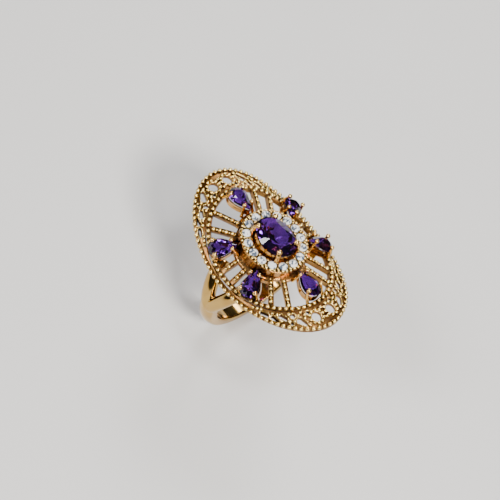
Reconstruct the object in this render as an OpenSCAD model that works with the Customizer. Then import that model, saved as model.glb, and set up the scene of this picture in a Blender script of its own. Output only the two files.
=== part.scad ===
// Oval domed cocktail ring with a pierced, beaded plate, a raised oval centre stone, a halo
// of small round stones and six pear stones, on a split-shoulder shank.
// Millimetres. Origin at the centre of the finger hole, Y along the finger, +Z to the head.

/* [Finger hole and shank] */
// Radius of the finger hole
finger_r = 9.5; // [9.2:0.05:9.7]
// Width of the band along the finger
band_w = 3.3; // [2.6:0.1:3.8]
// Thickness of the band at its crest
band_t = 2.1; // [1.7:0.1:2.4]
// Radius of the round section of each shoulder arm
arm_r = 1.25; // [1.0:0.05:1.4]
// Lean of each shoulder arm along the finger, in degrees
arm_lean = 22; // [16:1:24]

/* [Domed plate] */
// Half length of the plate along the finger, to the row of edge beads
plate_l = 16.5; // [15.5:0.1:17]
// Half width of the plate across the finger, to the row of edge beads
plate_w = 10.2; // [9.9:0.1:10.5]
// Height of the dome's top above the centre of the finger hole
crown_z = 11.1; // [11:0.1:11.6]
// Drop of the dome at its sides
side_drop = 3.9; // [3.4:0.1:4.2]
// Drop of the dome at its ends
end_drop = 0.8; // [0.6:0.05:0.85]
// Thickness of the pierced plate and its rim
plate_t = 0.75; // [0.6:0.05:0.75]
// Half length of the inner oval ring, to its middle
ring_l = 12.2; // [11.8:0.1:12.5]
// Half width of the inner oval ring, to its middle
ring_w = 9.35; // [9.1:0.05:9.4]

/* [Beads] */
// Radius of the beads on the oval rings
bead_r = 0.36; // [0.28:0.01:0.38]
// Distance from bead to bead on the oval rings
bead_pitch = 0.97; // [0.8:0.01:1.2]

/* [Spokes] */
// Width of one spoke bar
spoke_w = 0.95; // [0.8:0.05:1.05]
// Half distance between the two bars of a pair at their inner ends
spoke_gap_in = 1.0; // [0.9:0.05:1.15]
// Half distance between the two bars of a pair at their outer ends
spoke_gap_out = 1.4; // [1.2:0.05:1.5]

/* [Halo] */
// Half length of the halo, to the middle of its stones
halo_l = 5.1; // [5:0.05:5.3]
// Half width of the halo, to the middle of its stones
halo_w = 4.52; // [4.4:0.02:4.7]
// Number of round stones in the halo
halo_count = 16; // [14:1:16]
// Diameter of one halo stone
halo_stone_d = 1.5; // [1.3:0.05:1.55]
// Height of the halo's flat top above the dome
halo_z = 1.3; // [1.1:0.05:1.5]

/* [Centre stone] */
// Length of the oval centre stone
oval_l = 8; // [7.6:0.1:8]
// Width of the oval centre stone
oval_w = 6; // [5.6:0.1:6]
// Height of the centre stone's edge above the dome
oval_z = 2.65; // [2.5:0.05:2.9]

/* [Pear stones] */
// Length of one pear stone
pear_l = 5; // [4.6:0.1:5.1]
// Width of one pear stone
pear_w = 3.2; // [2.8:0.1:3.3]
// Distance from the centre to the middle of each of the four side pear stones
pear_side_r = 7.85; // [7.7:0.05:8]
// Distance from the centre to the middle of each of the two end pear stones
pear_end_r = 9.15; // [9:0.05:9.2]
// Height of the pear stones' edges above the dome
pear_z = 1.7; // [1.6:0.05:1.9]

/* [Hidden] */
$fn = 64;

// The dome is part of a torus. Across the finger it bends to bend_x, along it to bend_y.
bend_x = (plate_w * plate_w + side_drop * side_drop) / (2 * side_drop);
bend_y = (plate_l * plate_l + end_drop * end_drop) / (2 * end_drop);
dome_axis_z = crown_z - bend_y;

rim_wall = 0.7;       // width of the rim's wall
ring_wall = 0.75;     // width of the inner ring
deck_l = 6.95;        // half length of the deck round the halo
deck_w = 6.35;        // half width of the deck round the halo
halo_half = 1.1;      // half width of the halo's flat ring
halo_skirt = 0.5;     // wall of the skirt under the halo's outer edge
halo_top_t = 0.7;     // thickness of the halo's flat ring
seat_r = 0.44;        // radius of the opening under each halo stone
lip_w = 0.16;         // width of the raised lip on each edge of a spoke bar
lip_h = 0.15;         // height of that lip
spoke_bead_step = 1.05; // distance between the large beads on a spoke
claw_r = 0.28;        // radius of a centre claw's stem
claw_ball = 0.46;     // radius of a centre claw's ball
prong_r = 0.22;       // radius of a pear prong's stem
prong_ball = 0.35;    // radius of a pear prong's ball
arm_split_y = 0.4;    // distance from the middle at which each arm starts
arm_centre_r = 10.35; // radius of each arm's centre line
arm_high = 50;        // angle at which an arm ends, from the horizontal
pair_angles = [30, 90, 150, 210, 270, 330];
lattice_bead_r = 0.3; // radius of a crescent bead
lattice_bead_step = 0.78; // distance between crescent beads round an opening
lattice_sink = 0.08;  // depth of the crescents' face below the rings
edge_bead_r = 0.23;   // radius of a bead on the halo's outer edge
edge_bead_pitch = 0.72; // distance between those beads
grip_bead_r = 0.24;   // radius of a bead that grips the halo stones
spoke_bead_r = 0.3;   // radius of a large bead on a spoke
spoke_bead_small_r = 0.2; // radius of a small bead on a spoke
collar_low = 0.6;     // height of the centre collar's foot above the dome
collar_high = 2.25;   // height of the centre collar's top above the dome
claw_high = 3.5;      // height of a claw ball's middle above the dome
claw_angles = [41.5, 138.5, 221.5, 318.5];
pear_collar_h = 1.15; // height of a pear collar
web_margin = 0.62;    // clear distance from a crescent bead to the middle of each oval
hole_bead_gap = 0.33; // distance from an opening's edge to the middle of a crescent bead
grid_step = 0.7;      // distance between the points of the grid that fills the web with beads
grid_rows = 22;       // last row of the grid, counted from zero
grid_columns = 13;    // last place in a row of the grid, counted from zero
grid_inset = 0.8;     // distance of the first place from the long axis, in grid steps
grid_row_share = 0.87; // distance between two rows, in grid steps
closest_share = 0.8;  // least distance between two crescent beads, in lattice_bead_step
clear_share = 0.7;    // least distance of a crescent bead's middle from an opening, in bead radii
axis_beads = [13.3, 15.1]; // distances along the finger of the beads on the long axis
bar_from = 5;         // distance out at which a spoke bar starts, under the halo
bar_to = 13;          // distance out at which a spoke bar ends, beyond the inner ring
slot_from = 6.3;      // distance out at which the slot between a pair's bars starts
slot_to = 9;          // distance out at which that slot has left the deck
spoke_bead_from = 5.7; // distance out of the first bead on a spoke
halo_bead_gap = 0.3;  // clear distance from the halo's edge to the middle of a spoke bead
ring_bead_gap = 0.15; // the same from the inner ring's edge
edge_bead_in = 0.24;  // distance from the halo's edge to the middle of its edge beads
grip_offsets = [-0.6, 0.5]; // distances of the grip beads from the middle of the halo
halo_stone_rise = 0.27; // height of a halo stone's edge above the halo's top
halo_crown = 0.24;    // height of a halo stone above its edge
halo_pavilion = 0.62; // depth of a halo stone below its edge
collar_out = 0.05;    // gap between the centre collar and the halo's inner edge
collar_in = [0.35, 0.45]; // overlap of the centre collar under the stone, across and along
claw_out = 0.34;      // distance of a claw's stem outside the stone's edge
claw_tip_out = 0.12;  // distance of a claw's ball outside the stone's edge
claw_root = 0.3;      // depth of a claw's foot below the halo's top
oval_crown = 1.05;    // height of the centre stone above its edge
oval_pavilion = 2.35; // depth of the centre stone below its edge
pear_collar_lift = 0.05; // gap between the dome and a pear collar
pear_collar_out = 0.1; // distance of a pear collar's outside beyond the stone's edge
pear_collar_in = 0.4; // distance of its inside within the stone's edge
pear_crown = 0.75;    // height of a pear stone above its edge
pear_pavilion = 1.5;  // depth of a pear stone below its edge
pear_ball_z = 0.7;    // height of a pear prong's ball above the stone's edge
table_share = 0.56;   // width of a stone's table as a share of the stone
prong_reach_end = 2.75; // distance out of the feet of an end pear's outer prongs
prong_reach_side = 1.75; // the same for a side pear

gold = [0.83, 0.62, 0.27];
light_gold = [0.93, 0.78, 0.42];
violet = [0.33, 0.14, 0.58, 0.8];
white = [0.93, 0.95, 0.98, 0.7];

// ---- Outlines in plan: X across the finger, Y along it ----

// Point at angle t on an oval, with t = 0 on the +Y axis
function on_oval(l, w, t) = [w * sin(t), l * cos(t)];

// Plan point at a distance out from the centre along angle t, and a distance to the side
function from_centre(t, out, aside) =
    [out * sin(t) + aside * cos(t), out * cos(t) - aside * sin(t)];

// How far a plan point lies out from the centre, as a share of an oval's size
function share_of_oval(p, l, w) = norm([p[0] / w, p[1] / l]);

// Angles of count points spaced evenly along an oval, the first one start steps from +Y
function even_angles(l, w, count, start = 0.5) =
    let (steps = 240,
         run = [for (i = 0, s = 0; i <= steps;
                     s = s + norm(on_oval(l, w, 360 * (i + 1) / steps) - on_oval(l, w, 360 * i / steps)),
                     i = i + 1) [s, 360 * i / steps]],
         total = run[steps][0])
    [for (k = [0 : count - 1]) lookup(total * (k + start) / count, run)];

// Length round an oval, by Ramanujan's formula
function oval_length(l, w) = PI * (3 * (l + w) - sqrt((3 * l + w) * (l + 3 * w)));

// Number of beads of a given pitch round an oval
function bead_count(l, w, pitch) = round(oval_length(l, w) / pitch);

module oval(l, w) { scale([w, l]) circle(r = 1, $fn = 240); }

module oval_band(l, w, wall) {
    difference() {
        oval(l + wall / 2, w + wall / 2);
        oval(l - wall / 2, w - wall / 2);
    }
}

// Pear outline: tip towards -Y, round end towards +Y, grown by a margin
function pear_points(l, w, grow, count) =
    [for (k = [0 : count - 1])
        let (t = 360 * k / count)
        [(w / 2 + grow) / 0.77 * sin(t) * abs(sin(t / 2)), -(l / 2 + grow) * cos(t)]];

// ---- Places on the dome ----

// Torus slice between two heights measured square to the dome
module dome_layer(top, bottom) {
    arc = 8;
    core = 5;
    window = 28;
    translate([0, 0, dome_axis_z]) rotate([0, 90, 0]) rotate([0, 0, 180 - arc])
        rotate_extrude(angle = 2 * arc, $fn = 180)
            intersection() {
                translate([bend_y - bend_x, 0]) difference() {
                    circle(r = bend_x + top);
                    circle(r = bend_x + bottom);
                }
                translate([bend_y - bend_x + core, -window / 2]) square([bend_x, window]);
            }
}

// A plan outline cut from a dome layer
module dome_piece(top, bottom) {
    intersection() {
        dome_layer(top, bottom);
        linear_extrude(height = 2 * crown_z) children();
    }
}

// Puts a shape on the dome at plan position p, raised by h, with its own +Z square to the dome
module on_dome(p, h = 0) {
    reach = bend_y - bend_x + sqrt(bend_x * bend_x - p[0] * p[0]);
    translate([0, 0, dome_axis_z]) rotate([-asin(p[1] / reach), 0, 0])
        translate([0, 0, bend_y - bend_x]) rotate([0, asin(p[0] / bend_x), 0])
            translate([0, 0, bend_x + h]) children();
}

// Round bead with a small flat foot
module bead(r) {
    foot = 0.45 * r;
    translate([0, 0, foot]) rotate_extrude($fn = 32) intersection() {
        circle(r = r, $fn = 32);
        translate([0, -foot]) square([r, r + foot]);
    }
}

// Straight round bar between two points
module bar(from, to, r) {
    d = to - from;
    translate(from) rotate([0, acos(d[2] / norm(d)), atan2(d[1], d[0])])
        cylinder(r = r, h = norm(d), $fn = 32);
}

// ---- Shank ----

module finger_hole() { rotate([90, 0, 0]) cylinder(r = finger_r, h = 60, center = true, $fn = 128); }

module above_plate() { dome_layer(6, -plate_t); }

// D-shaped band, round the lower half of the finger hole
module shank_band() {
    crest = 2.4;
    inside = 0.2;
    color(gold) difference() {
        rotate([90, 0, 0]) rotate([0, 0, 180]) rotate_extrude(angle = 180, $fn = 128)
            intersection() {
                translate([finger_r - inside, -band_w / 2]) square([band_t + inside, band_w]);
                translate([finger_r + band_t - crest, 0]) circle(r = crest);
            }
        finger_hole();
    }
}

// One arm of a split shoulder on the +X side, cut off at the middle and at the band's end
module shoulder_arm(side) {
    start = 12;
    reach = 20;
    color(gold) difference() {
        intersection() {
            translate([0, side * arm_split_y, 0]) rotate([90 - side * arm_lean, 0, 0])
                rotate([0, 0, -start]) rotate_extrude(angle = arm_high + start, $fn = 128)
                    translate([arm_centre_r, 0]) circle(r = arm_r, $fn = 48);
            translate([0, side > 0 ? 0 : -reach, 0]) cube(reach);
        }
        finger_hole();
        above_plate();
    }
}

module arm_right_back() { shoulder_arm(1); }

module arm_right_front() { shoulder_arm(-1); }

module arm_left_front() { rotate([0, 0, 180]) shoulder_arm(1); }

module arm_left_back() { rotate([0, 0, 180]) shoulder_arm(-1); }

// ---- Plate ----

module plate_rim() {
    color(gold) dome_piece(0, -plate_t) oval_band(plate_l, plate_w, rim_wall);
}

module oval_beads(l, w, r, pitch) {
    for (t = even_angles(l, w, bead_count(l, w, pitch)))
        on_dome(on_oval(l, w, t)) bead(r);
}

module rim_beads() { color(light_gold) oval_beads(plate_l, plate_w, bead_r, bead_pitch); }

module inner_ring() { color(gold) dome_piece(0, -plate_t) oval_band(ring_l, ring_w, ring_wall); }

module inner_ring_beads() { color(light_gold) oval_beads(ring_l, ring_w, bead_r, bead_pitch); }

// Openings of one quarter of a crescent, as [first end, its radius, second end, its radius]
crescent_holes = [
    [[1.5, 14.25], 0.85, [1.5, 14.25], 0.85],
    [[2.4, 12.9], 0.3, [2.4, 12.9], 0.3],
    [[3.7, 14.35], 0.3, [4.2, 13.3], 0.5],
    [[4.7, 12.0], 0.4, [4.7, 12.0], 0.4],
    [[5.45, 13.0], 0.24, [5.45, 13.0], 0.24],
    [[5.8, 11.8], 0.26, [6.25, 10.9], 0.34],
    [[7.0, 11.3], 0.2, [7.3, 10.2], 0.3],
    [[7.75, 9.35], 0.3, [8.15, 8.4], 0.24],
];

// Round hole, or a drop between two round ends
module crescent_hole(h) {
    d = h[2] - h[0];
    translate(h[0]) circle(r = h[1], $fn = 32);
    if (norm(d) > 0) {
        aside = [-d[1], d[0]] / norm(d);
        translate(h[2]) circle(r = h[3], $fn = 32);
        polygon([h[0] + aside * h[1], h[2] + aside * h[3], h[2] - aside * h[3], h[0] - aside * h[1]]);
    }
}

module crescent_outline() {
    difference() {
        oval(plate_l - rim_wall / 2, plate_w - rim_wall / 2);
        oval(ring_l + ring_wall / 2, ring_w + ring_wall / 2);
        translate([-2 * plate_w, -2 * plate_l]) square([4 * plate_w, 2 * plate_l]);
    }
}

module lattice() {
    dome_piece(-lattice_sink, -plate_t) difference() {
        crescent_outline();
        for (h = crescent_holes, side = [-1, 1]) scale([side, 1]) crescent_hole(h);
    }
}

module lattice_front() { color(gold) rotate([0, 0, 180]) lattice(); }

module lattice_back() { color(gold) lattice(); }

// Clear distance from a plan point to a crescent opening
function hole_gap(p, h) =
    let (d = h[2] - h[0],
         t = norm(d) > 0 ? max(0, min(1, ((p - h[0]) * d) / (d * d))) : 0)
    norm(p - h[0] - t * d) - (h[1] + t * (h[3] - h[1]));

// Points spaced evenly round a crescent opening, at a margin outside its edge
function round_hole(h, margin) =
    let (d = h[2] - h[0], r = (h[1] + h[3]) / 2 + margin, run = 2 * norm(d) + 2 * PI * r,
         count = round(run / lattice_bead_step), facing = norm(d) > 0 ? atan2(d[1], d[0]) : 0)
    [for (k = [0 : count - 1])
        let (t = 360 * k / count, c = cos(t) > 0 ? h[2] : h[0], rr = (cos(t) > 0 ? h[3] : h[1]) + margin)
        c + rr * [cos(t + facing), sin(t + facing)]];

// True where a lattice bead fits: on the web, and clear of the openings and the two rings
function bead_fits(p) =
    share_of_oval(p, plate_l - web_margin, plate_w - web_margin) < 1
    && share_of_oval(p, ring_l + web_margin, ring_w + web_margin) > 1
    && min([for (h = crescent_holes) hole_gap(p, h)]) > lattice_bead_r * clear_share;

// Keeps the points that lie at least a step away from those kept before
function thinned(points, step, i = 0, kept = []) =
    i >= len(points) ? kept
    : thinned(points, step, i + 1,
        len([for (q = kept) if (norm(q - points[i]) < step) 1]) > 0 ? kept : concat(kept, [points[i]]));

// Staggered grid over one quarter of a crescent, which fills the web between the openings
grid_points = [for (j = [0 : grid_rows], i = [0 : grid_columns])
    [grid_step * (i + grid_inset + j % 2 / 2), plate_l - grid_step * grid_row_share * (j + 1)]];

lattice_points = thinned(
    [for (p = concat([for (h = crescent_holes) each round_hole(h, hole_bead_gap)], grid_points))
        if (p[0] > lattice_bead_r && bead_fits(p)) p], lattice_bead_step * closest_share);

module lattice_beads() {
    for (p = lattice_points, side = [-1, 1])
        on_dome([side * p[0], p[1]], -lattice_sink) bead(lattice_bead_r);
    for (y = axis_beads) on_dome([0, y], -lattice_sink) bead(lattice_bead_r);
}

module lattice_beads_front() { color(light_gold) rotate([0, 0, 180]) lattice_beads(); }

module lattice_beads_back() { color(light_gold) lattice_beads(); }

// ---- Deck and spokes ----

// Half distance between the middles of a pair's two bars, at a distance out from the centre
function pair_half(out) = spoke_gap_in + (spoke_gap_out - spoke_gap_in) * (out - 6) / 5;

// One bar of a pair in plan, running along +Y, or the strip left when its edges are trimmed
module bar_outline(side, from, to, width) {
    a = side * pair_half(from);
    b = side * pair_half(to);
    polygon([[a - width / 2, from], [a + width / 2, from], [b + width / 2, to], [b - width / 2, to]]);
}

// The slot between the two bars of a pair
module slot_outline(from, to) {
    a = pair_half(from) - spoke_w / 2;
    b = pair_half(to) - spoke_w / 2;
    polygon([[-a, from], [a, from], [b, to], [-b, to]]);
}

module centre_deck() {
    color(gold) dome_piece(0, -plate_t) difference() {
        oval(deck_l, deck_w);
        oval(halo_l + halo_half - halo_skirt, halo_w + halo_half - halo_skirt);
        for (t = pair_angles) rotate([0, 0, -t]) slot_outline(slot_from, slot_to);
    }
}

module spoke_pair(number) {
    t = pair_angles[number - 1];
    color(gold) difference() {
        dome_piece(lip_h, -plate_t) difference() {
            intersection() {
                rotate([0, 0, -t]) for (side = [-1, 1]) bar_outline(side, bar_from, bar_to, spoke_w);
                oval(ring_l - ring_wall / 2, ring_w - ring_wall / 2);
            }
            oval(deck_l, deck_w);
        }
        dome_piece(1, 0) rotate([0, 0, -t]) for (side = [-1, 1])
            bar_outline(side, bar_from - 1, bar_to + 1, spoke_w - 2 * lip_w);
    }
}

module spoke_beads() {
    color(light_gold) for (t = pair_angles, side = [-1, 1], k = [0 : 13]) {
        out = spoke_bead_from + k * spoke_bead_step / 2;
        p = from_centre(t, out, side * pair_half(out));
        halo_edge = halo_half + halo_bead_gap;
        ring_edge = ring_wall / 2 + ring_bead_gap;
        if (share_of_oval(p, halo_l + halo_edge, halo_w + halo_edge) > 1
            && share_of_oval(p, ring_l - ring_edge, ring_w - ring_edge) < 1)
            on_dome(p) bead(k % 2 == 0 ? spoke_bead_r : spoke_bead_small_r);
    }
}

// ---- Halo ----

// Flat ring with a skirt that stands on the deck, and an opening under each stone
module halo_mount() {
    l = halo_l + halo_half;
    w = halo_w + halo_half;
    under = crown_z + halo_z - halo_top_t;
    color(gold) difference() {
        translate([0, 0, crown_z - 2]) linear_extrude(height = 2 + halo_z) oval(l, w);
        translate([0, 0, crown_z - 3]) linear_extrude(height = under - crown_z + 3)
            oval(l - halo_skirt, w - halo_skirt);
        translate([0, 0, crown_z]) linear_extrude(height = 2)
            oval(halo_l - halo_half, halo_w - halo_half);
        for (t = halo_angles()) translate(on_oval(halo_l, halo_w, t)) cylinder(r = seat_r, h = 30, $fn = 32);
        dome_layer(0, -5);
    }
}

function halo_angles() = even_angles(halo_l, halo_w, halo_count, 0);

module halo_edge_beads() {
    l = halo_l + halo_half - edge_bead_in;
    w = halo_w + halo_half - edge_bead_in;
    color(light_gold) for (t = even_angles(l, w, bead_count(l, w, edge_bead_pitch)))
        translate(concat(on_oval(l, w, t), crown_z + halo_z)) bead(edge_bead_r);
}

// Small beads between the stones, which hold their edges
module halo_grip_beads() {
    color(light_gold) for (t = even_angles(halo_l, halo_w, halo_count), out = grip_offsets)
        translate(concat(on_oval(halo_l + out, halo_w + out, t), crown_z + halo_z)) bead(grip_bead_r);
}

// Round or oval cut stone from stacked outlines. The table is flat and the point is below.
module cut_stone(outline, crown, pavilion, table) {
    count = len(outline);
    girdle = 0.04 * pavilion;
    rings = [[1, girdle], [0.84, 0.55 * crown], [table, crown]];
    lower = [[0.6, -0.5 * pavilion], [1, -girdle]];
    levels = concat(lower, rings);
    middle = count * len(levels);
    points = concat([for (v = levels) for (p = outline) [p[0] * v[0], p[1] * v[0], v[1]]],
                    [[0, 0, -pavilion], [0, 0, crown]]);
    sides = [for (j = [0 : len(levels) - 2]) for (i = [0 : count - 1])
        let (n = (i + 1) % count) [j * count + i, (j + 1) * count + i, (j + 1) * count + n, j * count + n]];
    base = [for (i = [0 : count - 1]) [middle, i, (i + 1) % count]];
    top = [for (i = [0 : count - 1])
        [middle + 1, (len(levels) - 1) * count + (i + 1) % count, (len(levels) - 1) * count + i]];
    polyhedron(points = points, faces = concat(sides, base, top));
}

module halo_stones() {
    outline = [for (k = [0 : 11]) halo_stone_d / 2 * [sin(30 * k), cos(30 * k)]];
    color(white) for (t = halo_angles())
        translate(concat(on_oval(halo_l, halo_w, t), crown_z + halo_z + halo_stone_rise))
            cut_stone(outline, halo_crown, halo_pavilion, table_share);
}

// ---- Centre stone ----

module centre_collar() {
    color(gold) difference() {
        translate([0, 0, crown_z + collar_low]) linear_extrude(height = collar_high - collar_low)
            oval(halo_l - halo_half - collar_out, halo_w - halo_half - collar_out);
        translate([0, 0, crown_z]) linear_extrude(height = 2 * collar_high)
            oval(oval_l / 2 - collar_in[1], oval_w / 2 - collar_in[0]);
    }
}

// Four claws, each a stem beside the stone's edge and a ball that leans over it
module centre_prongs() {
    color(light_gold) for (t = claw_angles) {
        edge = on_oval(oval_l / 2, oval_w / 2, t);
        out = [edge[0] / pow(oval_w, 2), edge[1] / pow(oval_l, 2)];
        foot = edge + claw_out * out / norm(out);
        tip = edge + claw_tip_out * out / norm(out);
        from = crown_z + halo_z - claw_root;
        to = crown_z + claw_high - claw_r / 2;
        bar(concat(foot, from), concat(foot, to), claw_r);
        translate(concat(tip, crown_z + claw_high)) sphere(r = claw_ball, $fn = 32);
    }
}

module centre_stone() {
    outline = [for (k = [0 : 23]) on_oval(oval_l / 2, oval_w / 2, 15 * k)];
    color(violet) translate([0, 0, crown_z + oval_z])
        cut_stone(outline, oval_crown, oval_pavilion, table_share);
}

// ---- Pear settings ----

// Local frame of one pear stone: +Y outward, +Z square to the dome
module at_pear(number, h = 0) {
    t = 60 * (number - 1);
    r = t % 180 == 0 ? pear_end_r : pear_side_r;
    on_dome(from_centre(t, r, 0), h) rotate([0, 0, -t]) children();
}

module pear_collar(number) {
    color(gold) at_pear(number, pear_collar_lift) linear_extrude(height = pear_collar_h) difference() {
        polygon(pear_points(pear_l, pear_w, pear_collar_out, 48));
        polygon(pear_points(pear_l, pear_w, -pear_collar_in, 48));
    }
}

// One prong: a stem that rises from the plate, touches the collar, and ends in a ball
module pear_prong(foot, knee, top) {
    bar(foot, knee, prong_r);
    translate(knee) sphere(r = prong_r * 1.2, $fn = 32);
    bar(knee, top, prong_r);
    translate(top) sphere(r = prong_ball, $fn = 32);
}

// Two prongs flank the tip and two flank the round end. The end pears stand further from the ring.
module pear_prongs(number) {
    reach = number % 3 == 1 ? prong_reach_end : prong_reach_side;
    ball_z = pear_z + pear_ball_z;
    color(light_gold) at_pear(number) for (side = [-1, 1]) {
        pear_prong([side * 1.6, reach, 0.1], [side * 1.5, 1.6, 1], [side * 1.4, 1.45, ball_z]);
        pear_prong([side * 1.2, -2.1, 0.1], [side * 0.9, -1.85, 1], [side * 0.85, -1.75, ball_z]);
    }
}

module pear_stone(number) {
    color(violet) at_pear(number, pear_z)
        cut_stone(pear_points(pear_l, pear_w, 0, 20), pear_crown, pear_pavilion, table_share);
}

shank_band();
arm_left_front();
arm_left_back();
arm_right_front();
arm_right_back();
plate_rim();
rim_beads();
inner_ring();
inner_ring_beads();
lattice_front();
lattice_back();
lattice_beads_front();
lattice_beads_back();
centre_deck();
spoke_pair(1);  // spoke_pair_1
spoke_pair(2);  // spoke_pair_2
spoke_pair(3);  // spoke_pair_3
spoke_pair(4);  // spoke_pair_4
spoke_pair(5);  // spoke_pair_5
spoke_pair(6);  // spoke_pair_6
spoke_beads();
halo_mount();
halo_edge_beads();
halo_grip_beads();
halo_stones();
centre_collar();
centre_prongs();
centre_stone();
pear_collar(1);  // pear_collar_1
pear_collar(2);  // pear_collar_2
pear_collar(3);  // pear_collar_3
pear_collar(4);  // pear_collar_4
pear_collar(5);  // pear_collar_5
pear_collar(6);  // pear_collar_6
pear_prongs(1);  // pear_prongs_1
pear_prongs(2);  // pear_prongs_2
pear_prongs(3);  // pear_prongs_3
pear_prongs(4);  // pear_prongs_4
pear_prongs(5);  // pear_prongs_5
pear_prongs(6);  // pear_prongs_6
pear_stone(1);  // pear_stone_1
pear_stone(2);  // pear_stone_2
pear_stone(3);  // pear_stone_3
pear_stone(4);  // pear_stone_4
pear_stone(5);  // pear_stone_5
pear_stone(6);  // pear_stone_6
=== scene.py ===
import math

import bmesh
import bpy
import numpy as np
from mathutils import Matrix, Vector


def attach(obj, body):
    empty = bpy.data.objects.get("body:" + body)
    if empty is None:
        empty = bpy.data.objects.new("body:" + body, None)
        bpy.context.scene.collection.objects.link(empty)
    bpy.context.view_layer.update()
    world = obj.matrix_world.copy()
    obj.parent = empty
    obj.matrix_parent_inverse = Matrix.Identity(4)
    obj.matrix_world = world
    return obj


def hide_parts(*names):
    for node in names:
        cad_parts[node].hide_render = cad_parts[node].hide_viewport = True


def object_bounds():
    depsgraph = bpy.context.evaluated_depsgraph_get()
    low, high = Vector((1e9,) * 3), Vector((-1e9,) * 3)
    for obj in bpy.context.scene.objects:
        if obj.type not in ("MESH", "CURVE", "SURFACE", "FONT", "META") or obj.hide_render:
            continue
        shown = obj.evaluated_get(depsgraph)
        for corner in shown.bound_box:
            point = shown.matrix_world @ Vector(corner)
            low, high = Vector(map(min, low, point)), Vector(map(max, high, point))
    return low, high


# An oval domed cocktail ring. Sizes are in millimetres until a mesh is made, and follow the CAD part.

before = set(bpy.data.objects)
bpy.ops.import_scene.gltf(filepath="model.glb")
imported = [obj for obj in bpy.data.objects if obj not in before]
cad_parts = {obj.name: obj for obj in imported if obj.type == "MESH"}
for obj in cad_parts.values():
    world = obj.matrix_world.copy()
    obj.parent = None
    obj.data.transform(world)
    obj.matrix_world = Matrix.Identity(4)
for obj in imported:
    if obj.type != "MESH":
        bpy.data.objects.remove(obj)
cad_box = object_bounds()

MM = 0.001

# ---- Sizes shared with the CAD part ----

PLATE_L, PLATE_W = 16.5, 10.2
CROWN_Z = 11.1
SIDE_DROP, END_DROP = 3.9, 0.8
PLATE_T = 0.75
RIM_WALL, RING_WALL = 0.7, 0.75
RING_L, RING_W = 12.2, 9.35
BEAD_R, BEAD_PITCH = 0.36, 0.97
SPOKE_W, SPOKE_GAP_IN, SPOKE_GAP_OUT = 0.95, 1.0, 1.4
SPOKE_STEP = 1.05
HALO_L, HALO_W, HALO_HALF = 5.1, 4.52, 1.1
HALO_COUNT, HALO_D, HALO_Z = 16, 1.5, 1.3
OVAL_L, OVAL_W, OVAL_Z = 8.0, 6.0, 2.65
PEAR_L, PEAR_W, PEAR_Z = 5.0, 3.2, 1.7
PEAR_SIDE_R, PEAR_END_R = 7.85, 9.15
PAIR_ANGLES = (30, 90, 150, 210, 270, 330)

# Crescent beads: their size and spacing, and how far they keep from edges and openings
LATTICE_BEAD_R, LATTICE_STEP = 0.31, 0.78
LATTICE_SINK = 0.06
CLOSEST = LATTICE_STEP * 0.8
EDGE_GAP, HOLE_GAP, HOLE_BEAD_GAP, AXIS_GAP = 0.62, 0.21, 0.33, 0.3
GRID_STEP, GRID_INSET, GRID_ROW_SHARE = 0.7, 0.8, 0.87
GRID_ROWS, GRID_COLUMNS = 23, 14
AXIS_BEADS = (13.3, 15.1)

# Fine round wires of the visual model: radius, then height above the surface they edge
HOLE_WIRE_R, HOLE_WIRE_LIFT = 0.1, -0.05
SEAT_WIRE_R, SEAT_WIRE_LIFT = 0.07, 0.1

# Softening of cast metal: size of the remesh grid, rounds of smoothing, and the swell that puts back the wear
SHANK_VOXEL, SHANK_PASSES = 0.13, 14
WEB_VOXEL, WEB_PASSES, WEB_SWELL = 0.07, 2, 0.045
DECK_VOXEL, DECK_PASSES, DECK_SWELL = 0.08, 3, 0.02

BEAD_SMOOTH = 80
BEAD_SQUASH, BEAD_LIFT = 0.95, 0.5

# Openings of one quarter of a crescent: first end, its radius, second end, its radius
HOLES = (
    ((1.5, 14.25), 0.85, (1.5, 14.25), 0.85),
    ((2.4, 12.9), 0.3, (2.4, 12.9), 0.3),
    ((3.7, 14.35), 0.3, (4.2, 13.3), 0.5),
    ((4.7, 12.0), 0.4, (4.7, 12.0), 0.4),
    ((5.45, 13.0), 0.24, (5.45, 13.0), 0.24),
    ((5.8, 11.8), 0.26, (6.25, 10.9), 0.34),
    ((7.0, 11.3), 0.2, (7.3, 10.2), 0.3),
    ((7.75, 9.35), 0.3, (8.15, 8.4), 0.24),
)

BEND_X = (PLATE_W ** 2 + SIDE_DROP ** 2) / (2 * SIDE_DROP)
BEND_Y = (PLATE_L ** 2 + END_DROP ** 2) / (2 * END_DROP)
DOME_AXIS_Z = CROWN_Z - BEND_Y


# ---- Places on the dome ----

def sind(a):
    return math.sin(math.radians(a))


def cosd(a):
    return math.cos(math.radians(a))


def on_dome(x, y, h=0.0):
    """The frame of a plan point on the dome, raised by h, with +Z square to the dome."""
    reach = BEND_Y - BEND_X + math.sqrt(BEND_X ** 2 - x * x)
    return (Matrix.Translation((0, 0, DOME_AXIS_Z))
            @ Matrix.Rotation(-math.asin(y / reach), 4, "X")
            @ Matrix.Translation((0, 0, BEND_Y - BEND_X))
            @ Matrix.Rotation(math.asin(x / BEND_X), 4, "Y")
            @ Matrix.Translation((0, 0, BEND_X + h)))


def on_oval(l, w, t):
    return (w * sind(t), l * cosd(t))


def from_centre(t, out, aside):
    return (out * sind(t) + aside * cosd(t), out * cosd(t) - aside * sind(t))


def share_of_oval(p, l, w):
    return math.hypot(p[0] / w, p[1] / l)


def even_angles(l, w, count, start=0.5, steps=240):
    angles = np.arange(steps + 1) * 360 / steps
    pts = np.array([on_oval(l, w, a) for a in angles])
    run = np.concatenate([[0], np.cumsum(np.linalg.norm(np.diff(pts, axis=0), axis=1))])
    return np.interp(run[-1] * (np.arange(count) + start) / count, run, angles)


def bead_count(l, w, pitch):
    length = math.pi * (3 * (l + w) - math.sqrt((3 * l + w) * (l + 3 * w)))
    return round(length / pitch)


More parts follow.
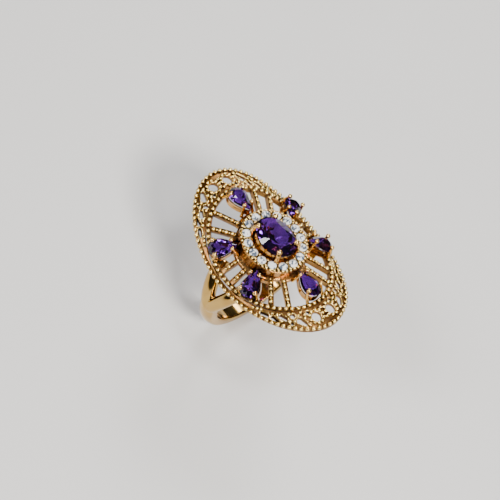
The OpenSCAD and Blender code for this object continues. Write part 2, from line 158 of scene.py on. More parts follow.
def pair_half(out):
    return SPOKE_GAP_IN + (SPOKE_GAP_OUT - SPOKE_GAP_IN) * (out - 6) / 5


def at_pear(number, h=0.0):
    """The frame of one pear stone: +Y outward, +Z square to the dome."""
    t = 60 * (number - 1)
    r = PEAR_END_R if t % 180 == 0 else PEAR_SIDE_R
    x, y = from_centre(t, r, 0)
    return on_dome(x, y, h) @ Matrix.Rotation(math.radians(-t), 4, "Z")


def pear_point(l, w, grow, t):
    return ((w / 2 + grow) / 0.77 * sind(t) * abs(sind(t / 2)), -(l / 2 + grow) * cosd(t))


# ---- Mesh helpers ----

def make_object(name, verts, faces, material, replaces=(), smooth_angle=35):
    """A mesh object from points in millimetres, riding on the ring's one body."""
    mesh = bpy.data.meshes.new(name)
    mesh.from_pydata([tuple(c * MM for c in v) for v in verts], [], faces)
    mesh.validate()
    return finish_object(name, mesh, material, replaces, smooth_angle)


def finish_object(name, mesh, material, replaces=(), smooth_angle=35):
    obj = bpy.data.objects.new(name, mesh)
    bpy.context.scene.collection.objects.link(obj)
    mesh.materials.clear()
    mesh.materials.append(material)
    if smooth_angle is None:
        mesh.shade_flat()
    else:
        mesh.shade_smooth()
        mesh.set_sharp_from_angle(angle=math.radians(smooth_angle))
    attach(obj, "root")
    if replaces:
        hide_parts(*replaces)
    return obj


def moved(matrix, points):
    return [tuple(matrix @ Vector(p)) for p in points]


class Shapes:
    """Collects the points and faces of many small shapes into one mesh."""

    def __init__(self):
        self.verts, self.faces = [], []

    def add(self, verts, faces):
        base = len(self.verts)
        self.verts += [tuple(v) for v in verts]
        self.faces += [tuple(base + i for i in f) for f in faces]


def icosphere(subdivisions):
    bm = bmesh.new()
    bmesh.ops.create_icosphere(bm, subdivisions=subdivisions, radius=1)
    verts = [tuple(v.co) for v in bm.verts]
    faces = [tuple(v.index for v in f.verts) for f in bm.faces]
    bm.free()
    return verts, faces


BALL = icosphere(3)


def bead(shapes, matrix, r):
    """A round grain that sits on the surface, a little flattened."""
    shapes.add(moved(matrix @ Matrix.Translation((0, 0, BEAD_LIFT * r)),
                     [(r * x, r * y, r * BEAD_SQUASH * z) for x, y, z in BALL[0]]), BALL[1])


def circle(r, step=45):
    return [(r * cosd(a), r * sind(a)) for a in range(0, 360, step)]


def rounded(points, radius, steps=4):
    """A closed outline with its corners rounded off."""
    out = []
    n = len(points)
    for i in range(n):
        a, b, c = (Vector(points[(i + k) % n]) for k in (-1, 0, 1))
        cut = min(radius, (a - b).length * 0.45, (c - b).length * 0.45)
        p, q = b + (a - b).normalized() * cut, b + (c - b).normalized() * cut
        for k in range(steps + 1):
            f = k / steps
            out.append(tuple((1 - f) ** 2 * p + 2 * f * (1 - f) * b + f * f * q))
    return out


def sweep(shapes, frames, section, closed=False):
    """Sweeps a closed section of (aside, up) points through frames of (point, aside, up)."""
    n = len(section)
    verts = []
    for point, aside, up in frames:
        verts += [tuple(point + aside * s[0] + up * s[1]) for s in section]
    faces = []
    count = len(frames)
    for j in range(count if closed else count - 1):
        k = (j + 1) % count
        for i in range(n):
            m = (i + 1) % n
            faces.append((j * n + i, j * n + m, k * n + m, k * n + i))
    if not closed:
        faces.append(tuple(range(n - 1, -1, -1)))
        faces.append(tuple((count - 1) * n + i for i in range(n)))
    shapes.add(verts, faces)


def dome_frames(points, h=0.0, closed=False):
    """Frames along plan points on the dome. Aside points to the right of the way."""
    spots = [on_dome(x, y, h) for x, y in points]
    at = [m.to_translation() for m in spots]
    count = len(at)
    frames = []
    for i in range(count):
        a = at[(i - 1) % count] if closed or i > 0 else at[0]
        b = at[(i + 1) % count] if closed or i < count - 1 else at[-1]
        up = spots[i].col[2].to_3d()
        aside = (b - a).cross(up).normalized()
        frames.append((at[i], aside, up))
    return frames


def flat_frames(points, z):
    """Frames along a closed line of plan points at height z."""
    at = [Vector((x, y, z)) for x, y in points]
    count = len(at)
    up = Vector((0, 0, 1))
    return [(at[i], (at[(i + 1) % count] - at[i - 1]).cross(up).normalized(), up) for i in range(count)]


def closed_wall(rows):
    """The points and faces of a wall through closed rows of points, the last row joined to the first."""
    count = len(rows[0])
    faces = []
    for j in range(len(rows)):
        k = (j + 1) % len(rows)
        for i in range(count):
            m = (i + 1) % count
            faces.append((j * count + i, j * count + m, k * count + m, k * count + i))
    return [p for row in rows for p in row], faces


def tube(shapes, path, radii, sides=16):
    """A round tube along a path, its radius changing from point to point, with closed ends."""
    path = [Vector(p) for p in path]
    count = len(path)
    side = None
    verts, faces = [], []
    for i, p in enumerate(path):
        way = (path[min(i + 1, count - 1)] - path[max(i - 1, 0)]).normalized()
        if side is None:
            side = way.orthogonal().normalized()
        side = (side - way * side.dot(way)).normalized()
        other = way.cross(side)
        for k in range(sides):
            a = 2 * math.pi * k / sides
            verts.append(tuple(p + (side * math.cos(a) + other * math.sin(a)) * radii[i]))
    for i in range(count - 1):
        for k in range(sides):
            m = (k + 1) % sides
            faces.append((i * sides + k, i * sides + m, (i + 1) * sides + m, (i + 1) * sides + k))
    faces.append(tuple(range(sides - 1, -1, -1)))
    faces.append(tuple((count - 1) * sides + k for k in range(sides)))
    shapes.add(verts, faces)


def bezier(points, count):
    """Points on the Bezier curve of a few control points."""
    points = [Vector(p) for p in points]
    out = []
    for i in range(count):
        f = i / (count - 1)
        row = points
        while len(row) > 1:
            row = [row[k].lerp(row[k + 1], f) for k in range(len(row) - 1)]
        out.append(row[0])
    return out


def prong(shapes, controls, foot_r, stem_r, ball_r, matrix=Matrix.Identity(4)):
    """A cast prong: a flared foot, a slim stem and a round ball, as one smooth surface."""
    steps = 14
    path = bezier(controls, steps)
    end, way = path[-1], (path[-1] - path[-2]).normalized()
    radii = [stem_r + (foot_r - stem_r) * (1 - i / (steps - 1)) ** 2 for i in range(steps)]
    neck = math.acos(min(1, stem_r / ball_r))
    caps = 12
    centre = end + way * (ball_r * math.sin(neck))
    for i in range(1, caps + 1):
        a = -neck + (math.pi / 2 + neck) * i / caps
        path.append(centre + way * (ball_r * math.sin(a)))
        radii.append(max(ball_r * math.cos(a), 0.004))
    tube(shapes, [matrix @ p for p in path], radii)


def softened(name, mesh, voxel, passes, swell=0):
    """The mesh with its edges softened as in a polished casting, and what that wears off put back."""
    obj = bpy.data.objects.new(name + "_raw", mesh)
    bpy.context.scene.collection.objects.link(obj)
    remesh = obj.modifiers.new("remesh", "REMESH")
    remesh.mode = "VOXEL"
    remesh.voxel_size = voxel * MM
    remesh.adaptivity = 0
    smooth = obj.modifiers.new("smooth", "SMOOTH")
    smooth.factor = 0.5
    smooth.iterations = passes
    if swell:
        grow = obj.modifiers.new("grow", "DISPLACE")
        grow.mid_level = 0
        grow.strength = swell * MM
    graph = bpy.context.evaluated_depsgraph_get()
    result = bpy.data.meshes.new_from_object(obj.evaluated_get(graph))
    bpy.data.objects.remove(obj)
    return result


def cast_copy(name, node, material, voxel, passes, swell):
    mesh = softened(name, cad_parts[node].data.copy(), voxel, passes, swell)
    return finish_object(name, mesh, material, (node,), 60)


# ---- Materials ----

def new_material(name):
    mat = bpy.data.materials.new(name)
    mat.use_nodes = True
    nodes, links = mat.node_tree.nodes, mat.node_tree.links
    nodes.clear()
    out = nodes.new("ShaderNodeOutputMaterial")
    shader = nodes.new("ShaderNodeBsdfPrincipled")
    links.new(shader.outputs["BSDF"], out.inputs["Surface"])
    return mat, nodes, links, shader


def noise(nodes, links, coords, scale, detail=3.0, roughness=0.5):
    tex = nodes.new("ShaderNodeTexNoise")
    tex.inputs["Scale"].default_value = scale
    tex.inputs["Detail"].default_value = detail
    tex.inputs["Roughness"].default_value = roughness
    links.new(coords.outputs["Object"], tex.inputs["Vector"])
    return tex


def spread(nodes, links, source, low, high, from_low=0.3, from_high=0.7):
    rng = nodes.new("ShaderNodeMapRange")
    rng.inputs["From Min"].default_value = from_low
    rng.inputs["From Max"].default_value = from_high
    rng.inputs["To Min"].default_value = low
    rng.inputs["To Max"].default_value = high
    links.new(source, rng.inputs["Value"])
    return rng.outputs["Result"]


def gold(name, bright, deep, painted_hollow_shade, rough, grain, bump):
    """Yellow gold whose tone, gloss and surface vary a little, with painted shade: its colour darkens to the
    given shade colour in hollows and crevices.
    """
    mat, nodes, links, shader = new_material(name)
    coords = nodes.new("ShaderNodeTexCoord")
    tone = noise(nodes, links, coords, grain)
    ramp = nodes.new("ShaderNodeValToRGB")
    ramp.color_ramp.elements[0].position = 0.35
    ramp.color_ramp.elements[0].color = (*deep, 1)
    ramp.color_ramp.elements[1].position = 0.62
    ramp.color_ramp.elements[1].color = (*bright, 1)
    links.new(tone.outputs["Fac"], ramp.inputs["Fac"])
    # Painted shade: ambient occlusion blends the colour towards the shade colour where parts crowd close
    # together.
    shade_occlusion = nodes.new("ShaderNodeAmbientOcclusion")
    shade_occlusion.samples = 8
    shade_occlusion.inputs["Distance"].default_value = 0.0007
    shade_mix = nodes.new("ShaderNodeMix")
    shade_mix.data_type = "RGBA"
    shade_mix.inputs[6].default_value = (*painted_hollow_shade, 1)
    links.new(spread(nodes, links, shade_occlusion.outputs["AO"], 0, 1, 0.25, 0.85), shade_mix.inputs[0])
    links.new(ramp.outputs["Color"], shade_mix.inputs[7])
    links.new(shade_mix.outputs[2], shader.inputs["Base Color"])
    gloss = noise(nodes, links, coords, grain * 3.1)
    links.new(spread(nodes, links, gloss.outputs["Fac"], rough * 0.75, rough * 1.3),
              shader.inputs["Roughness"])
    fine = noise(nodes, links, coords, grain * 5.3, 4.0, 0.6)
    lift = nodes.new("ShaderNodeBump")
    lift.inputs["Strength"].default_value = bump
    lift.inputs["Distance"].default_value = 0.00005
    links.new(fine.outputs["Fac"], lift.inputs["Height"])
    links.new(lift.outputs["Normal"], shader.inputs["Normal"])
    shader.inputs["Metallic"].default_value = 1.0
    return mat


def gem(name, pale, deep, ior, grain):
    """Clear cut stone. Its colour runs from pale to deep in soft zones, as natural colour does."""
    mat, nodes, links, shader = new_material(name)
    coords = nodes.new("ShaderNodeTexCoord")
    zone = noise(nodes, links, coords, grain, 2.0)
    ramp = nodes.new("ShaderNodeValToRGB")
    ramp.color_ramp.elements[0].position = 0.35
    ramp.color_ramp.elements[0].color = (*deep, 1)
    ramp.color_ramp.elements[1].position = 0.65
    ramp.color_ramp.elements[1].color = (*pale, 1)
    links.new(zone.outputs["Fac"], ramp.inputs["Fac"])
    links.new(ramp.outputs["Color"], shader.inputs["Base Color"])
    shader.inputs["Roughness"].default_value = 0.0
    shader.inputs["IOR"].default_value = ior
    shader.inputs["Transmission Weight"].default_value = 1.0
    return mat


def painted_sparkle_gem(name, bright, dark):
    """Colourless stone with its sparkle painted on: a white base colour broken by small dark blue-grey
    patches, painted reflections that stand in for the light its facets return or miss.
    """
    mat, nodes, links, shader = new_material(name)
    coords = nodes.new("ShaderNodeTexCoord")
    # Painted reflections: Voronoi cells split the base colour into white glints and dark facets.
    painted_glint_cells = nodes.new("ShaderNodeTexVoronoi")
    painted_glint_cells.inputs["Scale"].default_value = 3000
    links.new(coords.outputs["Object"], painted_glint_cells.inputs["Vector"])
    split = nodes.new("ShaderNodeSeparateColor")
    links.new(painted_glint_cells.outputs["Color"], split.inputs["Color"])
    ramp = nodes.new("ShaderNodeValToRGB")
    ramp.color_ramp.interpolation = "CONSTANT"
    ramp.color_ramp.elements[0].position = 0.0
    ramp.color_ramp.elements[0].color = (*dark, 1)
    ramp.color_ramp.elements[1].position = 0.36
    ramp.color_ramp.elements[1].color = (*bright, 1)
    links.new(split.outputs["Red"], ramp.inputs["Fac"])
    links.new(ramp.outputs["Color"], shader.inputs["Base Color"])
    shader.inputs["Roughness"].default_value = 0.03
    shader.inputs["IOR"].default_value = 2.0
    shader.inputs["Transmission Weight"].default_value = 0.15
    return mat


# One yellow gold throughout. Each third colour is the painted shade that gold darkens to in hollows. The
# shank, plate and web golds are darker copies of the bead gold: painted shade, so that they read shaded, with
# the plate and web darkest between the beads.
SHANK_GOLD_SHADED = gold("shank_gold", (0.56, 0.36, 0.11), (0.47, 0.28, 0.08), (0.26, 0.13, 0.03), 0.10, 300, 0.04)
PLATE_GOLD_SHADED = gold("plate_gold", (0.27, 0.145, 0.045), (0.19, 0.09, 0.03), (0.03, 0.01, 0.004), 0.34, 700, 0.3)
WEB_GOLD_SHADED = gold("web_gold_shaded", (0.26, 0.13, 0.04), (0.17, 0.075, 0.025), (0.02, 0.007, 0.003), 0.33, 800, 0.3)
DECK_GOLD = gold("deck_gold", (0.48, 0.25, 0.08), (0.36, 0.17, 0.05), (0.05, 0.015, 0.005), 0.24, 500, 0.15)
COLLAR_GOLD = gold("collar_gold", (0.58, 0.32, 0.10), (0.47, 0.24, 0.07), (0.16, 0.06, 0.02), 0.14, 500, 0.06)
BEAD_GOLD = gold("bead_gold", (0.95, 0.72, 0.27), (0.87, 0.60, 0.19), (0.08, 0.03, 0.01), 0.24, 900, 0.03)
PRONG_GOLD = gold("prong_gold", (0.84, 0.54, 0.18), (0.74, 0.43, 0.12), (0.24, 0.09, 0.025), 0.15, 600, 0.05)
VIOLET = gem("violet_stone", (0.14, 0.035, 0.36), (0.06, 0.010, 0.20), 1.56, 260)
CLEAR = painted_sparkle_gem("clear_stone", (1.0, 1.0, 1.0), (0.10, 0.13, 0.18))


# ---- Cut stones ----

def brilliant(outline, centre, crown, pavilion, table, girdle=0.05, mains=8, rows=((0.26, 0.76),)):
    """A brilliant crown on any outline: table, star, kite and girdle facets.

    outline(a) gives the edge at angle a in degrees. Below the girdle, each row is a share of the outline
    and of the depth, turned half a facet from the row before it."""
    centre = Vector((*centre, 0))

    def ring(share, z, offset, count):
        out = []
        for i in range(count):
            edge = Vector((*outline((i + offset) * 360 / count), 0))
            p = centre + (edge - centre) * share
            out.append(Vector((p.x, p.y, z)))
        return out

    verts = ring(table, crown, 0, mains) + ring(table + (1 - table) * 0.55, crown * 0.5, 0.5, mains)
    verts += ring(1, girdle, 0, 2 * mains) + ring(1, -girdle, 0, 2 * mains)
    t0, m0, h0, l0, p0 = 0, mains, 2 * mains, 4 * mains, 6 * mains
    offset = 0.5
    for share, depth in rows:
        verts += ring(share, -pavilion * depth, offset, mains)
        offset = 0.5 - offset
    tip = len(verts)
    verts.append(Vector((centre.x, centre.y, -pavilion)))
    faces = [tuple(range(mains - 1, -1, -1))]
    for i in range(mains):
        n = (i + 1) % mains
        b = (i - 1) % mains
        e, f, g = 2 * i, 2 * i + 1, (2 * i + 2) % (2 * mains)
        faces.append((t0 + i, t0 + n, m0 + i))
        faces += [(t0 + i, m0 + i, h0 + e), (t0 + i, h0 + e, m0 + b)]
        faces.append((m0 + i, h0 + f, h0 + e))
        faces.append((m0 + i, h0 + g, h0 + f))
        faces.append((h0 + e, h0 + f, l0 + f, l0 + e))
        faces.append((h0 + f, h0 + g, l0 + g, l0 + f))
        faces.append((p0 + i, l0 + e, l0 + f))
        faces.append((p0 + i, l0 + f, l0 + g))
        faces.append((p0 + b, p0 + i, l0 + e))
    low, turned = p0, True
    for _ in rows[1:]:
        nxt = low + mains
        for i in range(mains):
            n = (i + 1) % mains
            if turned:
                faces += [(low + i, low + n, nxt + n), (low + i, nxt + n, nxt + i)]
            else:
                faces += [(low + i, low + n, nxt + i), (low + n, nxt + n, nxt + i)]
        low, turned = nxt, not turned
    for i in range(mains):
        faces.append((low + i, low + (i + 1) % mains, tip))
    return verts, faces


def add_stone(shapes, matrix, verts, faces):
    shapes.add([tuple(matrix @ v) for v in verts], faces)


def fixed_normals(obj):
    """Turns every face of a closed mesh outward."""
    bm = bmesh.new()
    bm.from_mesh(obj.data)
    bmesh.ops.recalc_face_normals(bm, faces=bm.faces)
    bm.to_mesh(obj.data)
    bm.free()
    return obj


# ---- Shank ----

def make_shank():
    """Band and shoulders polished into each other, then parted where the CAD pieces meet."""
    bm = bmesh.new()
    for node in ("shank_band", "arm_left_front", "arm_left_back", "arm_right_front", "arm_right_back"):
        bm.from_mesh(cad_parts[node].data)
    mesh = bpy.data.meshes.new("shank_raw")
    bm.to_mesh(mesh)
    bm.free()
    soft = softened("shank", mesh, SHANK_VOXEL, SHANK_PASSES)
    parts = (("shank_band_polished", "shank_band", lambda c: c.z <= 0),
             ("arm_left_front_polished", "arm_left_front", lambda c: c.z > 0 and c.x < 0 and c.y <= 0),
             ("arm_left_back_polished", "arm_left_back", lambda c: c.z > 0 and c.x < 0 and c.y > 0),
             ("arm_right_front_polished", "arm_right_front", lambda c: c.z > 0 and c.x > 0 and c.y <= 0),
             ("arm_right_back_polished", "arm_right_back", lambda c: c.z > 0 and c.x > 0 and c.y > 0))
    for name, node, keep in parts:
        bm = bmesh.new()
        bm.from_mesh(soft)
        for plane in ((0, 0, 1), (0, 1, 0))[:1 if node == "shank_band" else 2]:
            bmesh.ops.bisect_plane(bm, geom=bm.verts[:] + bm.edges[:] + bm.faces[:],
                                   plane_co=(0, 0, 0), plane_no=plane)
        gone = [f for f in bm.faces if not keep(f.calc_center_median())]
        bmesh.ops.delete(bm, geom=gone, context="FACES")
        rims = [e for e in bm.edges if e.is_boundary]
        bmesh.ops.holes_fill(bm, edges=rims, sides=0)
        part = bpy.data.meshes.new(name)
        bm.to_mesh(part)
        bm.free()
        finish_object(name, part, SHANK_GOLD_SHADED, (node,), 60)


# ---- Plate ----

def make_rim():
    """Outer rim: a plain polished wall with a step under the row of beads."""
    half = RIM_WALL / 2
    section = rounded([(-half - 0.04, -PLATE_T), (half, -PLATE_T), (half, -0.38), (half - 0.09, -0.3),
                       (half - 0.09, -0.1), (half - 0.16, 0.02), (0.2, -0.04), (-0.2, -0.04), (-half, 0.02),
                       (-half - 0.04, -0.2)], 0.07)
    shapes = Shapes()
    points = [on_oval(PLATE_L, PLATE_W, t) for t in even_angles(PLATE_L, PLATE_W, 300, 0)]
    sweep(shapes, dome_frames(points[::-1], 0, True), section, closed=True)
    fixed_normals(make_object("plate_rim_cast", shapes.verts, shapes.faces, PLATE_GOLD_SHADED,
                              ("plate_rim",)))


def make_inner_ring():
    """Inner oval ring: a channel with two low lips beside its row of beads."""
    half = RING_WALL / 2
    section = rounded([(-half - 0.04, -PLATE_T), (half + 0.04, -PLATE_T), (half + 0.04, -0.2),
                       (half - 0.02, 0.0), (half - 0.1, 0.0), (half - 0.17, -0.1), (-half + 0.17, -0.1),
                       (-half + 0.1, 0.0), (-half + 0.02, 0.0), (-half - 0.04, -0.2)], 0.05)
    shapes = Shapes()
    points = [on_oval(RING_L, RING_W, t) for t in even_angles(RING_L, RING_W, 260, 0)]
    sweep(shapes, dome_frames(points[::-1], 0, True), section, closed=True)
    fixed_normals(make_object("inner_ring_cast", shapes.verts, shapes.faces, PLATE_GOLD_SHADED,
                              ("inner_ring",)))


def make_beads(name, shapes, node):
    make_object(name, shapes.verts, shapes.faces, BEAD_GOLD, (node,), BEAD_SMOOTH)


def make_wires(name, wires):
    """Fine wires of the visual model, which stand for no CAD node of their own."""
    fixed_normals(make_object(name, wires.verts, wires.faces, BEAD_GOLD, (), BEAD_SMOOTH))


def make_oval_beads(name, node, l, w):
    shapes = Shapes()
    for t in even_angles(l, w, bead_count(l, w, BEAD_PITCH)):
        bead(shapes, on_dome(*on_oval(l, w, t)), BEAD_R)
    make_beads(name, shapes, node)


def hole_gap(p, hole):
    (ax, ay), ra, (bx, by), rb = hole
    d = Vector((bx - ax, by - ay))
    rel = Vector((p[0] - ax, p[1] - ay))
    t = max(0, min(1, rel.dot(d) / d.length_squared)) if d.length else 0
    return (rel - d * t).length - (ra + t * (rb - ra))


def round_hole(hole, margin, count=None):
    (ax, ay), ra, (bx, by), rb = hole
    d = math.hypot(bx - ax, by - ay)
    run = 2 * d + 2 * math.pi * ((ra + rb) / 2 + margin)
    count = count or round(run / LATTICE_STEP)
    facing = math.degrees(math.atan2(by - ay, bx - ax)) if d else 0
    out = []
    for k in range(count):
        t = 360 * k / count
        far = cosd(t) > 0
        r = (rb if far else ra) + margin
        cx, cy = (bx, by) if far else (ax, ay)
        out.append((cx + r * cosd(t + facing), cy + r * sind(t + facing)))
    return out


def bead_fits(p):
    return (share_of_oval(p, PLATE_L - EDGE_GAP, PLATE_W - EDGE_GAP) < 1
            and share_of_oval(p, RING_L + EDGE_GAP, RING_W + EDGE_GAP) > 1
            and min(hole_gap(p, h) for h in HOLES) > HOLE_GAP)


def lattice_points():
    """Beads round the openings of one quarter of a crescent, then a staggered grid on the web."""
    places = [p for hole in HOLES for p in round_hole(hole, HOLE_BEAD_GAP)]
    places += [(GRID_STEP * (i + GRID_INSET + j % 2 / 2), PLATE_L - GRID_STEP * GRID_ROW_SHARE * (j + 1))
               for j in range(GRID_ROWS) for i in range(GRID_COLUMNS)]
    kept = []
    for p in places:
        if p[0] > AXIS_GAP and bead_fits(p) and all(math.dist(p, q) >= CLOSEST for q in kept):
            kept.append(p)
    return kept


def make_lattice(end, node, bead_node):
    """One pierced crescent: the web, a fine wire round each opening, and its beads."""
    turn = Matrix.Rotation(math.pi, 4, "Z") if end == "front" else Matrix.Identity(4)
    cast_copy(f"lattice_{end}_cast", node, WEB_GOLD_SHADED, WEB_VOXEL, WEB_PASSES, WEB_SWELL)
    wires = Shapes()
    for hole in HOLES:
        for side in (-1, 1):
            loop = [(side * x, y) for x, y in round_hole(hole, HOLE_WIRE_R, 40)]
            frames = [(turn @ p, turn.to_3x3() @ a, turn.to_3x3() @ u)
                      for p, a, u in dome_frames(loop, HOLE_WIRE_LIFT, True)]
            sweep(wires, frames, circle(HOLE_WIRE_R), closed=True)
    make_wires(f"lattice_{end}_wires", wires)
    shapes = Shapes()
    spots = [(side * x, y) for x, y in lattice_points() for side in (-1, 1)] + [(0, y) for y in AXIS_BEADS]
    for x, y in spots:
        bead(shapes, turn @ on_dome(x, y, -LATTICE_SINK), LATTICE_BEAD_R)
    make_beads(f"lattice_beads_{end}_cast", shapes, bead_node)


def make_spokes():
    """Twelve bars in six pairs, each a channel with a lip on either edge."""
    half = SPOKE_W / 2
    section = rounded([(-half, -PLATE_T), (half, -PLATE_T), (half, 0.05), (half - 0.1, 0.07),
                       (half - 0.17, -0.08), (-half + 0.17, -0.08), (-half + 0.1, 0.07), (-half, 0.05)],
                      0.04)
    for number, t in enumerate(PAIR_ANGLES, 1):
        shapes = Shapes()
        for side in (-1, 1):
            end = 6.0
            while share_of_oval(from_centre(t, end, side * pair_half(end)), RING_L - 0.3, RING_W - 0.3) < 1:
                end += 0.05
            outs = np.linspace(5.2, end, 24)
            points = [from_centre(t, s, side * pair_half(s)) for s in outs]
            sweep(shapes, dome_frames(points), section)
        fixed_normals(make_object(f"spoke_pair_{number}_cast", shapes.verts, shapes.faces, PLATE_GOLD_SHADED,
                                  (f"spoke_pair_{number}",)))
    beads = Shapes()
    for t in PAIR_ANGLES:
        for side in (-1, 1):
            for k in range(14):
                out = 5.7 + k * SPOKE_STEP / 2
                p = from_centre(t, out, side * pair_half(out))
                past_halo = HALO_HALF + 0.3
                inside_ring = RING_WALL / 2 + 0.15
                if (share_of_oval(p, HALO_L + past_halo, HALO_W + past_halo) > 1
                        and share_of_oval(p, RING_L - inside_ring, RING_W - inside_ring) < 1):
                    bead(beads, on_dome(*p), 0.34 if k % 2 == 0 else 0.2)
    make_beads("spoke_beads_cast", beads, "spoke_beads")


# ---- Halo and centre stone ----

def make_halo():
    cast_copy("centre_deck_cast", "centre_deck", DECK_GOLD,
              DECK_VOXEL, DECK_PASSES, DECK_SWELL)
    cast_copy("halo_mount_cast", "halo_mount", DECK_GOLD,
              DECK_VOXEL, DECK_PASSES, DECK_SWELL)
    top = CROWN_Z + HALO_Z
    edge = Shapes()
    l, w = HALO_L + HALO_HALF - 0.24, HALO_W + HALO_HALF - 0.24
    for t in even_angles(l, w, bead_count(l, w, 0.72)):
        bead(edge, Matrix.Translation((*on_oval(l, w, t), top)), 0.25)
    make_beads("halo_edge_beads_cast", edge, "halo_edge_beads")
    grips = Shapes()
    for t in even_angles(HALO_L, HALO_W, HALO_COUNT):
        for out in (-0.6, 0.5):
            x, y = on_oval(HALO_L + out, HALO_W + out, t)
            bead(grips, Matrix.Translation((x, y, top + 0.08)), 0.22)
    make_beads("halo_grip_beads_cast", grips, "halo_grip_beads")
    stones, seats = Shapes(), Shapes()
    r = HALO_D / 2
    verts, faces = brilliant(lambda a: (r * sind(a), r * cosd(a)), (0, 0), 0.34, 0.6, 0.52, 0.015)
    for t in even_angles(HALO_L, HALO_W, HALO_COUNT, 0):
        x, y = on_oval(HALO_L, HALO_W, t)
        add_stone(stones, Matrix.Translation((x, y, top + 0.27)), verts, faces)
        loop = [(x + dx, y + dy) for dx, dy in circle(r + 0.05, 12)]
        sweep(seats, flat_frames(loop, top + SEAT_WIRE_LIFT), circle(SEAT_WIRE_R), closed=True)
    fixed_normals(make_object("halo_stones_cut", stones.verts, stones.faces, CLEAR,
                              ("halo_stones",), None))
    make_wires("halo_seats", seats)


def make_centre():
    """Centre stone with its polished collar and four claws."""
    wall = 0.22
    levels = ((4.0, 3.4, 0.6), (4.0, 3.4, 1.2), (3.97, 3.3, 1.6), (3.93, 3.12, 2.1), (3.9, 3.03, 2.35))
    angles = even_angles(OVAL_L / 2, OVAL_W / 2, 160, 0)
    rows = list(levels) + [(l - wall, w - wall, z) for l, w, z in reversed(levels)]
    verts, faces = closed_wall([[(*on_oval(l, w, t), CROWN_Z + z) for t in angles] for l, w, z in rows])
    fixed_normals(make_object("centre_collar_polished", verts, faces, COLLAR_GOLD,
                              ("centre_collar",), 40))
    claws = Shapes()
    for t in (41.5, 138.5, 221.5, 318.5):
        x, y = on_oval(OVAL_L / 2, OVAL_W / 2, t)
        out = Vector((x / OVAL_W ** 2, y / OVAL_L ** 2)).normalized()
        at = lambda aside, z: (x + out.x * aside, y + out.y * aside, CROWN_Z + z)
        prong(claws, [at(0.42, HALO_Z - 0.2), at(0.42, 2.2), at(0.42, 3.1), at(0.1, 3.3)], 0.46, 0.36, 0.5)
    make_object("centre_prongs_cast", claws.verts, claws.faces, PRONG_GOLD,
                ("centre_prongs",), BEAD_SMOOTH)
    verts, faces = brilliant(lambda a: on_oval(OVAL_L / 2, OVAL_W / 2, a), (0, 0), 1.0, 2.3, 0.54, 0.06, 12,
                             ((0.72, 0.36), (0.42, 0.68)))
    stone = Shapes()
    add_stone(stone, Matrix.Translation((0, 0, CROWN_Z + OVAL_Z)), verts, faces)
    fixed_normals(make_object("centre_stone_cut", stone.verts, stone.faces, VIOLET,
                              ("centre_stone",), None))


# ---- Pear settings ----

def make_pear(number):
    """One pear stone with its polished collar and four prongs."""
    place = at_pear(number)
    count = 72
    levels = ((0.12, 0.05), (0.14, 0.3), (0.06, 0.75), (0.08, 1.15), (0.14, 1.42))
    wall = 0.2
    rows = [(g, z) for g, z in levels] + [(g - wall, z) for g, z in reversed(levels)]
    verts, faces = closed_wall([[(*pear_point(PEAR_L, PEAR_W, g, 360 * i / count), z)
                                 for i in range(count)] for g, z in rows])
    fixed_normals(make_object(f"pear_collar_{number}_polished", moved(place, verts), faces, COLLAR_GOLD,
                              (f"pear_collar_{number}",), 40))
    prongs = Shapes()
    reach = 2.75 if number % 3 == 1 else 1.75
    for side in (-1, 1):
        prong(prongs, [(side * 1.6, reach, -0.05), (side * 1.62, 1.9, 0.9), (side * 1.55, 1.5, 1.6),
                       (side * 1.38, 1.42, PEAR_Z + 0.55)], 0.32, 0.24, 0.4, place)
        prong(prongs, [(side * 1.2, -2.1, -0.05), (side * 0.95, -1.9, 0.9), (side * 0.92, -1.8, 1.6),
                       (side * 0.82, -1.7, PEAR_Z + 0.55)], 0.32, 0.24, 0.37, place)
    make_object(f"pear_prongs_{number}_cast", prongs.verts, prongs.faces, PRONG_GOLD,
                (f"pear_prongs_{number}",), BEAD_SMOOTH)
    verts, faces = brilliant(lambda a: pear_point(PEAR_L, PEAR_W, 0, a), (0, 0.45), 0.72, 1.48, 0.56, 0.04, 8,
                             ((0.66, 0.42), (0.34, 0.76)))
    stone = Shapes()
    add_stone(stone, place @ Matrix.Translation((0, 0, PEAR_Z)), verts, faces)
    fixed_normals(make_object(f"pear_stone_{number}_cut", stone.verts, stone.faces, VIOLET,
                              (f"pear_stone_{number}",), None))


# ---- Stage, light and camera ----

def make_stage():
    """A plain pale floor under the ring, and soft studio light."""
    mat, nodes, links, shader = new_material("floor")
    coords = nodes.new("ShaderNodeTexCoord")
    mottle = noise(nodes, links, coords, 40)
    links.new(spread(nodes, links, mottle.outputs["Fac"], 0.55, 0.65), shader.inputs["Roughness"])
    shader.inputs["Base Color"].default_value = (0.62, 0.61, 0.60, 1)
    bpy.ops.mesh.primitive_plane_add(size=3, location=(0, 0, cad_box[0][2]))
    floor = bpy.context.object
    floor.name = "floor"
    floor.data.materials.append(mat)
    world = bpy.data.worlds.new("studio")
    bpy.context.scene.world = world
    world.use_nodes = True
    nodes, links = world.node_tree.nodes, world.node_tree.links
    back = nodes["Background"]
    coords = nodes.new("ShaderNodeTexCoord")
    split = nodes.new("ShaderNodeSeparateXYZ")
    links.new(coords.outputs["Generated"], split.inputs["Vector"])
    ramp = nodes.new("ShaderNodeValToRGB")
    ramp.color_ramp.elements[0].position = 0.0
    ramp.color_ramp.elements[0].color = (0.05, 0.048, 0.045, 1)
    ramp.color_ramp.elements[1].position = 1.0
    ramp.color_ramp.elements[1].color = (0.09, 0.092, 0.1, 1)
    links.new(split.outputs["Z"], ramp.inputs["Fac"])
    links.new(ramp.outputs["Color"], back.inputs["Color"])
    back.inputs["Strength"].default_value = 0.8


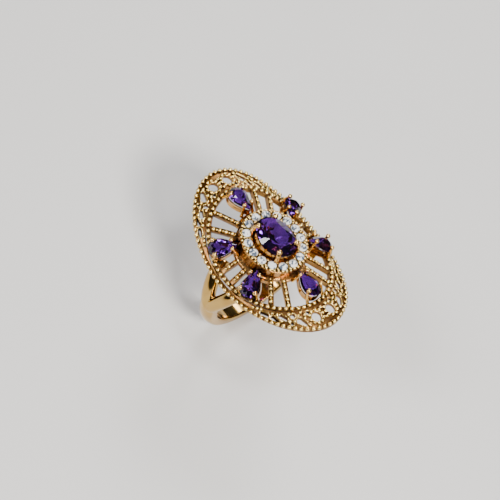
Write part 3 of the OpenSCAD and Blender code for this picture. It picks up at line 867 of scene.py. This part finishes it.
def add_light(name, direction, distance, size, power, colour=(1, 1, 1)):
    data = bpy.data.lights.new(name, "AREA")
    data.shape = "DISK"
    data.size = size
    data.energy = power
    data.color = colour
    obj = bpy.data.objects.new(name, data)
    bpy.context.scene.collection.objects.link(obj)
    way = Vector(direction).normalized()
    obj.location = way * distance
    obj.rotation_euler = way.to_track_quat("Z", "Y").to_euler()


def make_camera():
    """The camera stands off the dome's top, looking down across the plate, turned to suit the view."""
    back = Vector((0.479, 0.270, 0.836)).normalized()
    right = Vector((-0.761, 0.602, 0.242))
    distance = 287.4 * MM
    lens_mm = 124.6752
    aside, above = 0.01290714, 0.00297413  # slopes by which the camera is turned off the dome's top
    right = (right - back * right.dot(back)).normalized()
    up = back.cross(right)
    place = Vector((0, 0, CROWN_Z * MM)) + back * distance
    back_new = (back + right * aside + up * above).normalized()
    right_new = (right - back_new * right.dot(back_new)).normalized()
    up_new = back_new.cross(right_new)
    data = bpy.data.cameras.new("camera")
    data.lens = lens_mm
    data.clip_start = 0.01
    camera = bpy.data.objects.new("camera", data)
    bpy.context.scene.collection.objects.link(camera)
    turn = Matrix((right_new, up_new, back_new)).transposed().to_4x4()
    camera.matrix_world = Matrix.Translation(place) @ turn
    bpy.context.scene.camera = camera


make_shank()
make_rim()
make_inner_ring()
make_oval_beads("rim_beads_cast", "rim_beads", PLATE_L, PLATE_W)
make_oval_beads("inner_ring_beads_cast", "inner_ring_beads", RING_L, RING_W)
make_lattice("front", "lattice_front", "lattice_beads_front")
make_lattice("back", "lattice_back", "lattice_beads_back")
make_spokes()
make_halo()
make_centre()
for pear in range(1, 7):
    make_pear(pear)
make_stage()
add_light("key", (0.25, 0.75, 1.0), 0.45, 0.13, 3.4, (1.0, 0.97, 0.92))
add_light("fill", (0.9, -0.5, 0.9), 0.5, 0.16, 1.6)
add_light("back", (-0.8, -0.5, 0.7), 0.5, 0.2, 1.6)
add_light("top", (-0.1, 0.1, 1.0), 0.6, 0.12, 1.2)
make_camera()
